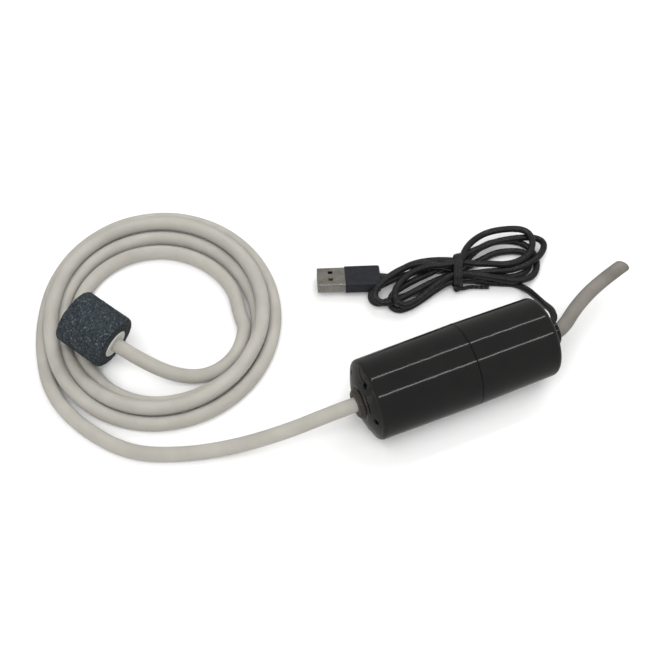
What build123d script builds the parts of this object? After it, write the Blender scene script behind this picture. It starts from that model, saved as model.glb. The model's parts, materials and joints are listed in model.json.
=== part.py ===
"""Small USB diaphragm air pump for an aquarium, with its hose, air stone and cable.

Millimetres.  The pump lies on its side: its axis runs along X at the height AXIS_Z, with the
air outlet at -X and the cable and intake at +X.  The origin is on the surface that the pump
lies on, under the middle of its length.
"""
import math
import os

from build123d import *

# ---------------------------------------------------------------- driving dimensions
SEAM_R = 17.2            # outer radius where the two shells meet, their widest place
END_R = 16.7             # outer radius near both ends, after the draft of the moulds
BODY_R_IN = 15.2         # inner radius of both shells
AXIS_Z = SEAM_R          # height of the pump's axis over the surface
SEAM_X = 2.5             # where the shells meet
COLLAR_X = -45.1         # outer end of the outlet's collar
NECK_X = 44.2            # outer end of the rear shell's neck
FRONT_RIDGE_X = -39.8    # edge between the front shell's side and its shoulder
REAR_WALL_X = 38.8       # outer face of the rear shell's end wall
NECK_R = 5.7             # outer radius of the neck and of the collar at their rims

HOSE_D = 6.0             # silicone air hose, outer diameter
HOSE_BORE = 4.0          # its inner diameter
CABLE_D = 2.9            # USB cable
CLEARANCE = 0.05         # sliding and push fits
RUN_CLEARANCE = 0.05     # radial clearance of turning fits

MOTOR_X0, MOTOR_X1 = -10.0, 20.8   # ends of the motor can
MOTOR_R = 12.2
SHAFT_R = 1.0
HEAD_R = 13.6            # pump head
CHAMBER_R = 7.4          # radius of the circle on which the three chambers sit
CHAMBERS = 3
TILT = 8.0               # angle between the crank pin and the motor shaft, degrees
PIVOT_X = -22.4          # the wobble plate rocks about this point of the axis
PIN_R = 0.75

STONE_R, STONE_L = 11.8, 22.0
STONE_CENTRE = (-127.8, 76.8, 16.4)
STONE_DIR = (0.54, -0.815, -0.20)  # from the stone's middle towards its hose

COIL_CENTRE = (-99.5, 82.7)
COIL_TURN = 75.0         # direction of the coil's longer diameter, degrees from +X
COIL_R = (58.8, 52.4)    # half of the coil's outer diameters
EYE_CENTRE = (-101.3, 77.5)
EYE_R = (37.2, 34.6)     # half of the diameters of the opening in the coil
HOSE_TOP = HOSE_D + 0.2  # height of the hose lying on the surface

PLUG_TIP = (-30.2, 72.3)           # end of the plug's shell, seen from above
PLUG_DIR = (-0.934, 0.358)         # from the cable towards the plug's tip
PLUG_Z = 4.4                       # height of the plug's axis
PLUG_ROLL = 12.5                   # the plug lies rolled towards +Y, degrees
SHELL_L, SHELL_W, SHELL_H = 12.0, 12.0, 4.5
SHELL_T = 0.3
GRIP_L, GRIP_W, GRIP_H = 15.2, 13.2, 5.6

HANK_H = 11.6            # thickness of the tied hank of cable
WAIST = (27.2, 52.2)               # middle of the hank's waist, where the tie holds it
ACROSS = (0.436, 0.90)             # direction across the hank there

# points that the free hoses and the cable pass, from the pump outwards
LEAD_ROUTE = [
    (-41.0, 0.0, AXIS_Z), (-56.0, 0.0, AXIS_Z), (-74.0, 3.5, 10.0), (-94.0, 9.0, 3.6),
    (-114.0, 14.3, 3.0), (-133.0, 23.5, 3.0), (-147.0, 44.0, 3.0), (-152.6, 63.5, 3.0),
]
TAIL_ROUTE = [
    (-67.6, 61.2, 3.0), (-76.5, 49.5, 3.0), (-90.5, 44.6, 3.1), (-104.0, 50.0, 4.6),
    (-116.98, 60.47, 12.39), (-121.85, 67.82, 14.20),
]
CABLE_ROUTE = [
    (39.2, 2.65, 19.0), (45.6, 2.65, 19.0), (48.2, 9.0, 18.2), (48.8, 16.0, 13.6),
    (50.6, 23.6, 8.0), (51.6, 31.6, 3.2), (49.2, 38.2, 1.5), (43.8, 40.8, 1.5),
]
INTAKE_ROUTE = [
    (37.0, -1.35, 16.25), (46.0, -1.35, 16.25), (59.0, 8.0, 16.5), (74.2, 15.1, 16.6),
    (89.0, 19.4, 16.2),
]

# ---------------------------------------------------------------- helpers
AXIS = Axis((0, 0, AXIS_Z), (1, 0, 0))
SIDE = Plane(origin=(0, 0, AXIS_Z), x_dir=(1, 0, 0), z_dir=(0, -1, 0))


def station(x, turn=0.0):
    """Plane across the pump at x: its x runs along +Y and its y along +Z, turned about X."""
    angle = math.radians(turn)
    across = (0, math.cos(angle), math.sin(angle))
    return Plane(origin=(x, 0, AXIS_Z), x_dir=across, z_dir=(1, 0, 0))


def profile(points):
    """Closed face through (x, radius) points, for a turned piece."""
    Polygon(*points, align=None)


def ring_profile(x0, x1, r_in, r_out):
    """Section of a plain ring or disc."""
    profile([(x0, r_in), (x1, r_in), (x1, r_out), (x0, r_out)])


def corner_radii(points):
    """As large an arc at each corner as its two runs allow."""
    radii = []
    for before, corner, after in zip(points, points[1:], points[2:]):
        first = Vector(*corner) - Vector(*before)
        second = Vector(*after) - Vector(*corner)
        turn = math.radians(first.get_angle(second))
        radii.append(0.45 * min(first.length, second.length) / math.tan(turn / 2))
    return radii


def smooth_route(points):
    """Straight runs joined by tangent arcs."""
    return FilletPolyline(*points, radius=corner_radii(points))


def save(piece, label):
    """Name a finished piece and write its file."""
    piece.part.label = label
    export_step(piece.part, f"parts/{label}.step")


def report_tube(piece, label, path, points, r_out, r_in=0.0):
    """Print a tube's bends and compare its volume with its section times its length."""
    length = path.wire().length
    area = math.pi * (r_out ** 2 - r_in ** 2)
    radii = ", ".join(f"{radius:.0f}" for radius in corner_radii(points))
    ratio = piece.part.volume / (area * length)
    print(f"{label}: length {length:.1f} mm, radii {radii} mm, volume ratio {ratio:.3f}")


os.makedirs("parts", exist_ok=True)

# ---------------------------------------------------------------- front shell
LIP_L = 5.0              # the rear shell's lip reaches this far into the front shell
LIP_R = 15.9             # where the front shell's mouth is opened out for the lip
SHOULDER_X = -43.4       # flat of the shoulder, round the neck
WALL = 1.7
COLLAR_R = 5.0           # hole that holds the outlet collar
VENTS = 5
VENT_CIRCLE = 12.6
VENT_R = 1.2
VENT_TURN = 95.0         # direction of the first vent, degrees from +Y towards +Z
SLOT_CIRCLE = 10.0
SLOT_ARC = 40.0
SLOT_W = 0.7
SLOT_TURN = 131.0
with BuildPart() as front_housing:
    with BuildSketch(SIDE):
        with BuildLine():
            side = Line((SEAM_X - 0.35, SEAM_R), (FRONT_RIDGE_X + 0.9, END_R + 0.05))
            edge = TangentArc(side @ 1, (FRONT_RIDGE_X - 0.8, 15.3), tangent=side % 1)
            shoulder = ThreePointArc(edge @ 1, (-42.2, 11.8), (SHOULDER_X, 8.2))
            Polyline(shoulder @ 1, (SHOULDER_X - 0.2, COLLAR_R), (SHOULDER_X + WALL, COLLAR_R),
                     (SHOULDER_X + WALL, 8.0), (-40.9, 11.5), (-39.2, 14.0), (-38.2, BODY_R_IN),
                     (SEAM_X - LIP_L - 0.2, BODY_R_IN), (SEAM_X - LIP_L - 0.2, LIP_R),
                     (SEAM_X - 0.1, LIP_R), (SEAM_X - 0.1, SEAM_R - 0.3), side @ 0)
        make_face()
    revolve(axis=AXIS)
    with BuildSketch(station(FRONT_RIDGE_X - 5.0, VENT_TURN)):
        with PolarLocations(VENT_CIRCLE, VENTS):
            Circle(VENT_R)
    extrude(amount=8.0, mode=Mode.SUBTRACT)
    with BuildSketch(station(FRONT_RIDGE_X - 5.0)):
        for turn in (SLOT_TURN, SLOT_TURN + 180.0):
            with BuildLine(mode=Mode.PRIVATE) as slot_line:
                CenterArc((0, 0), SLOT_CIRCLE, turn - SLOT_ARC / 2, SLOT_ARC)
            SlotArc(slot_line.edge(), SLOT_W)
    extrude(amount=8.0, mode=Mode.SUBTRACT)
save(front_housing, "front_housing")

# ---------------------------------------------------------------- rear shell
NECK_BORE_R = 4.9
with BuildPart() as rear_housing:
    with BuildSketch(SIDE):
        with BuildLine():
            side = Line((SEAM_X + 0.35, SEAM_R), (REAR_WALL_X - 2.6, END_R))
            edge = TangentArc(side @ 1, (REAR_WALL_X - 0.2, 14.0), tangent=side % 1)
            end = ThreePointArc(edge @ 1, (REAR_WALL_X + 0.5, 10.2), (REAR_WALL_X + 0.8, 7.4))
            flare = ThreePointArc(end @ 1, (REAR_WALL_X + 1.6, 6.1), (REAR_WALL_X + 2.8, NECK_R))
            Polyline(flare @ 1, (NECK_X - 0.3, NECK_R), (NECK_X, NECK_R - 0.3),
                     (NECK_X, NECK_BORE_R), (REAR_WALL_X - 1.5, NECK_BORE_R), (REAR_WALL_X - 1.5, 12.6),
                     (REAR_WALL_X - 3.6, BODY_R_IN), (SEAM_X, BODY_R_IN), (SEAM_X - 0.6, 14.7),
                     (SEAM_X - LIP_L, 14.7), (SEAM_X - LIP_L, LIP_R - CLEARANCE),
                     (SEAM_X - 3.0, LIP_R - CLEARANCE), (SEAM_X - 3.0, LIP_R - 0.6),
                     (SEAM_X - 2.0, LIP_R - 0.6), (SEAM_X - 2.0, LIP_R - CLEARANCE),
                     (SEAM_X, LIP_R - CLEARANCE), (SEAM_X, SEAM_R - 0.3), side @ 0)
        make_face()
    revolve(axis=AXIS)
save(rear_housing, "rear_housing")

with BuildPart() as seam_seal:
    with BuildSketch(SIDE):
        with Locations((SEAM_X - 2.5, LIP_R - 0.29)):
            Circle(0.28)
    revolve(axis=AXIS)
save(seam_seal, "seam_seal")

with BuildPart() as outlet_collar:
    with BuildSketch(SIDE):
        profile([(COLLAR_X, HOSE_D / 2 + CLEARANCE), (-39.4, HOSE_D / 2 + CLEARANCE),
                 (-39.4, 5.8), (SHOULDER_X + WALL, 5.8), (SHOULDER_X + WALL, COLLAR_R),
                 (SHOULDER_X - 0.2, COLLAR_R), (SHOULDER_X - 0.2, 6.7), (SHOULDER_X - 0.7, 5.9),
                 (COLLAR_X + 0.25, NECK_R), (COLLAR_X, NECK_R - 0.3)])
    revolve(axis=AXIS)
save(outlet_collar, "outlet_collar")

CABLE_HOLE = (2.65, 1.8)     # centres of the grommet's two holes, from the pump's axis
TUBE_HOLE = (-1.35, -0.95)
GROMMET_X = 35.8             # the grommet's inner end
GROMMET_FIT = 0.02           # its holes grip the tube and the cable
# the plug in the neck and the flange behind the wall: radius and outer end of each
GROMMET_STEPS = ((NECK_BORE_R - CLEARANCE, NECK_X - 1.2), (6.2, REAR_WALL_X - 1.5))
with BuildPart() as rear_grommet:
    for radius, outer_x in GROMMET_STEPS:
        with BuildSketch(station(GROMMET_X)):
            Circle(radius)
            with Locations(TUBE_HOLE):
                Circle(HOSE_D / 2 + GROMMET_FIT, mode=Mode.SUBTRACT)
            with Locations(CABLE_HOLE):
                Circle(CABLE_D / 2 + GROMMET_FIT, mode=Mode.SUBTRACT)
        extrude(amount=outer_x - GROMMET_X)
save(rear_grommet, "rear_grommet")

with BuildPart() as cable_stop:
    with BuildSketch(station(33.6)):
        with Locations(CABLE_HOLE):
            Circle(2.3)
            Circle(1.4, mode=Mode.SUBTRACT)
    extrude(amount=2.0)
save(cable_stop, "cable_stop")

with BuildPart() as inlet_filter:
    with BuildSketch(SIDE):
        ring_profile(32.4, 35.2, 6.6, 14.6)
    revolve(axis=AXIS)
save(inlet_filter, "inlet_filter")

# ---------------------------------------------------------------- motor
CAN_T = 0.8
BOSS_R, BOSS_X = 3.1, MOTOR_X0 - 1.8
BEARING_R = 2.4
CAP_X = 16.6
MOTOR_SCREW_Y = 7.6
with BuildPart() as motor_can:
    with BuildSketch(SIDE):
        profile([(BOSS_X, BEARING_R), (MOTOR_X0 + 1.2, BEARING_R),
                 (MOTOR_X0 + 1.2, MOTOR_R - CAN_T), (MOTOR_X1, MOTOR_R - CAN_T),
                 (MOTOR_X1, MOTOR_R), (MOTOR_X0 + 0.8, MOTOR_R),
                 (MOTOR_X0, MOTOR_R - 0.8), (MOTOR_X0, BOSS_R), (BOSS_X, BOSS_R)])
    revolve(axis=AXIS)
    with BuildSketch(station(MOTOR_X0 - 0.5)):
        with Locations((MOTOR_SCREW_Y, 0), (-MOTOR_SCREW_Y, 0)):
            Circle(0.82)
    extrude(amount=3.0, mode=Mode.SUBTRACT)
save(motor_can, "motor_can")

with BuildPart() as motor_end_cap:
    with BuildSketch(SIDE):
        profile([(CAP_X + 2.0, BEARING_R), (MOTOR_X1 + 1.6, BEARING_R), (MOTOR_X1 + 1.6, 4.0),
                 (MOTOR_X1 - 0.2, 4.0), (MOTOR_X1 - 0.2, MOTOR_R - CAN_T - CLEARANCE),
                 (CAP_X, MOTOR_R - CAN_T - CLEARANCE), (CAP_X, MOTOR_R - CAN_T - 1.2),
                 (CAP_X + 2.0, MOTOR_R - CAN_T - 1.2)])
    revolve(axis=AXIS)
    with BuildSketch(station(CAP_X - 1.0)):
        with Locations((6.2, 0), (-6.2, 0)):
            Rectangle(0.7, 2.8)
    extrude(amount=8.0, mode=Mode.SUBTRACT)
save(motor_end_cap, "motor_end_cap")

MAGNET_R = (9.5, MOTOR_R - CAN_T - 0.02)
with BuildPart() as field_magnets:
    with BuildSketch(SIDE):
        ring_profile(-5.5, 12.0, *MAGNET_R)
    revolve(axis=AXIS)
    with BuildSketch(station(-7.0)):
        for flip in (1, -1):
            profile([(0, 0), (flip * 9.0, 15.6), (flip * 18.0, 15.6), (flip * 18.0, -15.6),
                     (flip * 9.0, -15.6)])
    extrude(amount=22.0, mode=Mode.INTERSECT)
    with BuildSketch(station(-7.0)):
        Rectangle(2.0, 40.0)
    extrude(amount=22.0, mode=Mode.SUBTRACT)
save(field_magnets, "field_magnets")

BEARINGS = {
    "front_bearing": (BOSS_X, MOTOR_X0 + 1.2),
    "rear_bearing": (CAP_X + 2.0, MOTOR_X1 + 1.4),
}
for label, (x0, x1) in BEARINGS.items():
    with BuildPart() as bearing:
        with BuildSketch(SIDE):
            ring_profile(x0, x1, SHAFT_R + RUN_CLEARANCE, BEARING_R - 0.01)
        revolve(axis=AXIS)
    save(bearing, label)

with BuildPart() as motor_shaft:
    with BuildSketch(SIDE):
        profile([(-15.6, 0), (21.6, 0), (21.6, SHAFT_R - 0.2), (21.4, SHAFT_R), (-15.4, SHAFT_R),
                 (-15.6, SHAFT_R - 0.2)])
    revolve(axis=AXIS)
save(motor_shaft, "motor_shaft")

POLES = 3
CORE_X0, CORE_X1 = -3.5, 9.5
CORE_R = 8.8
with BuildPart() as rotor_core:
    with BuildSketch(station(CORE_X0)) as lamination:
        Circle(3.0)
        with PolarLocations(4.6, POLES):
            Rectangle(6.0, 2.4)
        with BuildSketch(mode=Mode.PRIVATE) as shoes:
            Circle(CORE_R)
            Circle(CORE_R - 1.7, mode=Mode.SUBTRACT)
            with PolarLocations(CORE_R, POLES, start_angle=180.0 / POLES):
                Rectangle(7.0, 2.6, mode=Mode.SUBTRACT)
        add(shoes.sketch)
        Circle(SHAFT_R, mode=Mode.SUBTRACT)
    extrude(amount=CORE_X1 - CORE_X0)
save(rotor_core, "rotor_core")

WIRE_T = 1.3             # thickness of each coil's winding
with BuildPart() as rotor_windings:
    for pole in range(POLES):
        angle = math.radians(pole * 360.0 / POLES)
        radial = Vector(0, math.cos(angle), math.sin(angle))
        core_middle = Vector((CORE_X0 + CORE_X1) / 2, 0, AXIS_Z)
        with BuildSketch(Plane(origin=core_middle + radial * 3.6, x_dir=(1, 0, 0), z_dir=radial)):
            RectangleRounded(CORE_X1 - CORE_X0 + 0.1 + 2 * WIRE_T, 2.5 + 2 * WIRE_T, 1.1)
            Rectangle(CORE_X1 - CORE_X0 + 0.1, 2.5, mode=Mode.SUBTRACT)
        extrude(amount=2.9)
save(rotor_windings, "rotor_windings")

BARS = 3
with BuildPart() as commutator:
    with BuildSketch(station(12.0)):
        Circle(2.6)
        Circle(SHAFT_R, mode=Mode.SUBTRACT)
        with PolarLocations(2.6, BARS):
            Rectangle(0.8, 0.3, mode=Mode.SUBTRACT)
    extrude(amount=4.2)
save(commutator, "commutator")

BRUSH_X = 14.2
with BuildPart() as brushes:
    with BuildSketch(station(BRUSH_X - 0.9)):
        for side_sign in (1, -1):
            with Locations((side_sign * 3.6, 0)):
                Rectangle(1.7, 1.8)
            with Locations((side_sign * 4.7, 2.2)):
                Rectangle(0.4, 6.4)
    extrude(amount=1.8)
save(brushes, "brushes")

with BuildPart() as motor_terminals:
    with BuildSketch(station(BRUSH_X + 2.6)):
        with Locations((6.2, 0), (-6.2, 0)):
            Rectangle(0.5, 2.6)
    extrude(amount=24.4 - BRUSH_X - 2.6)
save(motor_terminals, "motor_terminals")

# ---------------------------------------------------------------- pump head
BASE_X0, BASE_X1 = -24.2, MOTOR_X0
CAVITY_R = 11.3
PLATE_X0, PLATE_X1 = -29.4, -25.4
COVER_X0 = -34.0
SCREW_CIRCLE = 12.4
SCREW_TURN = 60.0
with BuildPart() as head_base:
    with BuildSketch(SIDE):
        profile([(BASE_X0, CAVITY_R), (BASE_X1 - 2.2, CAVITY_R), (BASE_X1 - 2.2, BOSS_R + 0.1),
                 (BASE_X1, BOSS_R + 0.1), (BASE_X1, MOTOR_R), (BASE_X1 - 3.0, HEAD_R),
                 (BASE_X0, HEAD_R)])
    revolve(axis=AXIS)
    with BuildSketch(station(BASE_X1 - 3.0)):
        with Locations((MOTOR_SCREW_Y, 0), (-MOTOR_SCREW_Y, 0)):
            Circle(0.82)
    extrude(amount=4.0, mode=Mode.SUBTRACT)
    with BuildSketch(station(BASE_X0 - 1.0, SCREW_TURN)):
        with PolarLocations(SCREW_CIRCLE, CHAMBERS):
            Circle(0.72)
    extrude(amount=9.0, mode=Mode.SUBTRACT)
save(head_base, "head_base")

CUP_R, CUP_WALL = 3.3, 0.7
PLATE_FACE = 1.6         # front of the wobble plate, behind the pivot along the pin


def cup_end(turn):
    """Where the cup in this direction ends: the tilted plate pulls each to its own depth."""
    height = CHAMBER_R * math.sin(math.radians(turn))
    return PIVOT_X + PLATE_FACE - 0.5 - height * math.tan(math.radians(TILT))


with BuildPart() as diaphragm:
    with BuildSketch(station(PLATE_X1)):
        Circle(HEAD_R)
        with PolarLocations(CHAMBER_R, CHAMBERS):
            Circle(CUP_R - CUP_WALL, mode=Mode.SUBTRACT)
    extrude(amount=BASE_X0 - PLATE_X1)
    for cup in range(CHAMBERS):
        turn = 360.0 / CHAMBERS * cup
        end_x = cup_end(turn)
        with BuildSketch(station(BASE_X0, turn)):
            with Locations((CHAMBER_R, 0)):
                Circle(CUP_R)
                Circle(CUP_R - CUP_WALL, mode=Mode.SUBTRACT)
        extrude(amount=end_x - BASE_X0)
        with BuildSketch(station(end_x - 0.7, turn)):
            with Locations((CHAMBER_R, 0)):
                Circle(CUP_R)
        extrude(amount=0.7)
    with BuildSketch(station(PLATE_X1 - 1.0, SCREW_TURN)):
        with PolarLocations(SCREW_CIRCLE, CHAMBERS):
            Circle(0.85)
    extrude(amount=4.0, mode=Mode.SUBTRACT)
save(diaphragm, "diaphragm")

INLET_OFFSET, INLET_R = 1.5, 0.5
OUTLET_CIRCLE, OUTLET_R = 3.4, 0.6
with BuildPart() as valve_plate:
    with BuildSketch(station(PLATE_X0)):
        Circle(HEAD_R)
        with PolarLocations(OUTLET_CIRCLE, CHAMBERS):
            Circle(OUTLET_R, mode=Mode.SUBTRACT)
        with PolarLocations(CHAMBER_R + INLET_OFFSET, CHAMBERS):
            Circle(INLET_R, mode=Mode.SUBTRACT)
        Circle(0.8, mode=Mode.SUBTRACT)
    extrude(amount=PLATE_X1 - PLATE_X0)
    with BuildSketch(station(PLATE_X1 - 1.4)):
        with PolarLocations(CHAMBER_R, CHAMBERS):
            Circle(CUP_R - CUP_WALL)
        with PolarLocations((CHAMBER_R + OUTLET_CIRCLE) / 2, CHAMBERS):
            Rectangle(CHAMBER_R - OUTLET_CIRCLE, 1.2)
    extrude(amount=2.0, mode=Mode.SUBTRACT)
    with BuildSketch(station(PLATE_X0 - 1.0, SCREW_TURN)):
        with PolarLocations(SCREW_CIRCLE, CHAMBERS):
            Circle(0.85)
    extrude(amount=6.0, mode=Mode.SUBTRACT)
save(valve_plate, "valve_plate")

with BuildPart() as intake_valves:
    with BuildSketch(station(PLATE_X1 - 1.35)):
        with PolarLocations(CHAMBER_R, CHAMBERS):
            SlotOverall(4.8, 2.0)
    extrude(amount=0.35)
save(intake_valves, "intake_valves")

with BuildPart() as exhaust_valve:
    with BuildSketch(SIDE):
        profile([(PLATE_X0 - 1.0, 0), (PLATE_X0 + 1.6, 0), (PLATE_X0 + 1.6, 0.75),
                 (PLATE_X0 - 0.05, 0.75), (PLATE_X0 - 0.05, 4.6), (PLATE_X0 - 0.4, 4.6),
                 (PLATE_X0 - 1.0, 1.4)])
    revolve(axis=AXIS)
save(exhaust_valve, "exhaust_valve")

NOZZLE_X = -41.0
with BuildPart() as head_cover:
    with BuildSketch(SIDE):
        profile([(NOZZLE_X, 1.2), (-31.6, 1.2), (-31.6, 5.4), (PLATE_X0, 5.4), (PLATE_X0, HEAD_R),
                 (COVER_X0 + 1.0, HEAD_R), (COVER_X0, HEAD_R - 1.0), (COVER_X0, 3.6), (-36.0, 2.2),
                 (-39.6, 2.2), (-39.9, 2.6), (NOZZLE_X, 1.9)])
    revolve(axis=AXIS)
    with BuildSketch(station(PLATE_X0 - 1.4)):
        with PolarLocations(CHAMBER_R + INLET_OFFSET, CHAMBERS):
            Circle(INLET_R)
        with PolarLocations(CHAMBER_R + INLET_OFFSET + 2.6, CHAMBERS):
            Rectangle(6.0, 1.0)
    extrude(amount=2.0, mode=Mode.SUBTRACT)
    with BuildSketch(station(COVER_X0 - 1.0, SCREW_TURN)):
        with PolarLocations(SCREW_CIRCLE, CHAMBERS):
            Circle(0.85)
    extrude(amount=6.0, mode=Mode.SUBTRACT)
    with BuildSketch(station(COVER_X0 - 1.0, SCREW_TURN)):
        with PolarLocations(SCREW_CIRCLE, CHAMBERS):
            Circle(1.6)
    extrude(amount=2.4, mode=Mode.SUBTRACT)
save(head_cover, "head_cover")

with BuildPart() as head_screws:
    with BuildSketch(station(COVER_X0 + 1.4, SCREW_TURN)):
        with PolarLocations(SCREW_CIRCLE, CHAMBERS):
            Circle(0.7)
    extrude(amount=14.0)
    with BuildSketch(station(COVER_X0 + 0.3, SCREW_TURN)):
        with PolarLocations(SCREW_CIRCLE, CHAMBERS):
            Circle(1.45)
            Rectangle(1.8, 0.4, mode=Mode.SUBTRACT)
    extrude(amount=1.1)
save(head_screws, "head_screws")

with BuildPart() as motor_screws:
    with BuildSketch(station(BASE_X1 - 2.2)):
        with Locations((MOTOR_SCREW_Y, 0), (-MOTOR_SCREW_Y, 0)):
            Circle(0.8)
    extrude(amount=4.6)
    with BuildSketch(station(BASE_X1 - 3.2)):
        with Locations((MOTOR_SCREW_Y, 0), (-MOTOR_SCREW_Y, 0)):
            Circle(1.6)
            Rectangle(2.0, 0.4, mode=Mode.SUBTRACT)
    extrude(amount=1.0)
save(motor_screws, "motor_screws")

# ---------------------------------------------------------------- crank and wobble plate
# the pin's axis passes through the pivot and leans away from the shaft, towards +Z
PIN_DIR = Vector(math.cos(math.radians(TILT)), 0, math.sin(math.radians(TILT)))
PIVOT = Vector(PIVOT_X, 0, AXIS_Z)


def pin_plane(distance):
    """Plane across the pin's axis, this far behind the pivot."""
    return Plane(origin=PIVOT + PIN_DIR * distance, x_dir=(0, 1, 0), z_dir=PIN_DIR)


PIN_FROM, PIN_TO = 2.1, 6.6
CRANK_X0, CRANK_X1 = -17.0, -12.6
with BuildPart() as crank_pin:
    with BuildSketch(pin_plane(PIN_FROM)):
        Circle(PIN_R)
    extrude(amount=PIN_TO - PIN_FROM)
save(crank_pin, "crank_pin")

with BuildPart() as eccentric:
    with BuildSketch(station(CRANK_X0)):
        Circle(4.4)
    extrude(amount=CRANK_X1 - CRANK_X0)
    with BuildSketch(station(-15.6)):
        Circle(SHAFT_R)
    extrude(amount=4.0, mode=Mode.SUBTRACT)
    with BuildSketch(pin_plane(PIN_FROM)):
        Circle(PIN_R)
    extrude(amount=PIN_TO - PIN_FROM, mode=Mode.SUBTRACT)
save(eccentric, "eccentric")

LOBE_R = 2.2
with BuildPart() as wobble_plate:
    with BuildSketch(pin_plane(PLATE_FACE)):
        Circle(3.6)
        with PolarLocations(CHAMBER_R / 2, CHAMBERS):
            Rectangle(CHAMBER_R, 2 * LOBE_R)
        with PolarLocations(CHAMBER_R, CHAMBERS):
            Circle(LOBE_R)
            Circle(0.75, mode=Mode.SUBTRACT)
    extrude(amount=1.3)
    with BuildSketch(pin_plane(PLATE_FACE + 1.3)):
        Circle(2.1)
    extrude(amount=1.8)
    with BuildSketch(pin_plane(PLATE_FACE + 0.4)):
        Circle(PIN_R + RUN_CLEARANCE)
    extrude(amount=4.0, mode=Mode.SUBTRACT)
save(wobble_plate, "wobble_plate")

# ---------------------------------------------------------------- rings that quieten the pump
DAMPERS = {"front_damper": (-32.4, -24.6, HEAD_R), "rear_damper": (7.0, 17.0, MOTOR_R)}
for label, (x0, x1, r_in) in DAMPERS.items():
    with BuildPart() as damper:
        with BuildSketch(SIDE):
            ring_profile(x0, x1, r_in + CLEARANCE, BODY_R_IN - CLEARANCE)
        revolve(axis=AXIS)
        with BuildSketch(station(x0)):
            with PolarLocations(BODY_R_IN, 8):
                Circle(0.7)
        extrude(amount=x1 - x0, mode=Mode.SUBTRACT)
    save(damper, label)

# ---------------------------------------------------------------- leads inside the pump
WIRE_R = 0.6
CABLE_START = Vector(*CABLE_ROUTE[0])
for label, side_sign in (("lead_wire_red", 1), ("lead_wire_black", -1)):
    wire_points = [
        (24.5, side_sign * 6.2, AXIS_Z), (27.6, side_sign * 6.0, AXIS_Z + 0.6),
        (31.4, CABLE_START.Y + side_sign * 0.66, CABLE_START.Z - 0.02),
        (CABLE_START.X, CABLE_START.Y + side_sign * 0.66, CABLE_START.Z),
    ]
    with BuildPart() as wire:
        with BuildLine() as wire_path:
            smooth_route(wire_points)
        with BuildSketch(wire_path.line ^ 0):
            Circle(WIRE_R)
        sweep()
    save(wire, label)
    report_tube(wire, label, wire_path, wire_points, WIRE_R)

# ---------------------------------------------------------------- air hose, coil and stone
for label, route in (("hose_lead", LEAD_ROUTE), ("hose_tail", TAIL_ROUTE)):
    with BuildPart() as hose:
        with BuildLine() as hose_path:
            smooth_route(route)
        with BuildSketch(hose_path.line ^ 0):
            Circle(HOSE_D / 2)
        sweep()
    save(hose, label)
    report_tube(hose, label, hose_path, route, HOSE_D / 2)

with BuildPart() as hose_coil:
    with BuildSketch(Plane.XY):
        with Locations(Location((*COIL_CENTRE, 0), COIL_TURN)):
            Ellipse(*COIL_R)
        with Locations(Location((*EYE_CENTRE, 0), COIL_TURN)):
            Ellipse(*EYE_R, mode=Mode.SUBTRACT)
    extrude(amount=HOSE_TOP)
save(hose_coil, "hose_coil")

STONE_HOLE_R = 3.1
FERRULE_R = 6.2
stone_near = Vector(*STONE_CENTRE) + Vector(*STONE_DIR).normalized() * (STONE_L / 2)
STONE_PLANE = Plane(origin=stone_near, x_dir=(0, 0, 1), z_dir=STONE_DIR)
with BuildPart() as air_stone:
    with BuildSketch(STONE_PLANE):
        Circle(STONE_R)
    extrude(amount=-STONE_L)
    fillet(air_stone.edges().filter_by(GeomType.CIRCLE), 1.6)
    with BuildSketch(STONE_PLANE):
        Circle(FERRULE_R)
    extrude(amount=-1.0, mode=Mode.SUBTRACT)
    with BuildSketch(STONE_PLANE):
        Circle(STONE_HOLE_R)
    extrude(amount=-13.0, mode=Mode.SUBTRACT)
save(air_stone, "air_stone")

with BuildPart() as stone_ferrule:
    with BuildSketch(STONE_PLANE.offset(-1.0)):
        Circle(FERRULE_R - CLEARANCE)
    extrude(amount=1.3)
    outer_face = stone_ferrule.faces().sort_by(Axis(STONE_PLANE.origin, STONE_PLANE.z_dir))[-1]
    fillet(outer_face.edges(), 0.5)
    with BuildSketch(STONE_PLANE.offset(-11.0)):
        Circle(STONE_HOLE_R - CLEARANCE)
    extrude(amount=10.0)
    with BuildSketch(STONE_PLANE.offset(-12.0)):
        Circle(1.4)
    extrude(amount=12.0, mode=Mode.SUBTRACT)
    with BuildSketch(STONE_PLANE):
        Circle(HOSE_D / 2 + CLEARANCE)
    extrude(amount=0.4, mode=Mode.SUBTRACT)
save(stone_ferrule, "stone_ferrule")

# ---------------------------------------------------------------- intake tube
with BuildPart() as intake_tube:
    with BuildLine() as intake_path:
        smooth_route(INTAKE_ROUTE)
    with BuildSketch(intake_path.line ^ 0):
        Circle(HOSE_D / 2)
        Circle(HOSE_BORE / 2, mode=Mode.SUBTRACT)
    sweep()
    tube_end = Axis(intake_path.line @ 1, intake_path.line % 1)
    mouth = intake_tube.faces().filter_by(GeomType.PLANE).sort_by(tube_end)[-1]
    chamfer(mouth.edges().sort_by(SortBy.LENGTH)[0], 0.3)
save(intake_tube, "intake_tube")
report_tube(intake_tube, "intake_tube", intake_path, INTAKE_ROUTE, HOSE_D / 2, HOSE_BORE / 2)

# ---------------------------------------------------------------- USB cable
with BuildPart() as usb_cable:
    with BuildLine() as cable_path:
        smooth_route(CABLE_ROUTE)
    with BuildSketch(cable_path.line ^ 0):
        Circle(CABLE_D / 2)
    sweep()
save(usb_cable, "usb_cable")
report_tube(usb_cable, "usb_cable", cable_path, CABLE_ROUTE, CABLE_D / 2)

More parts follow.
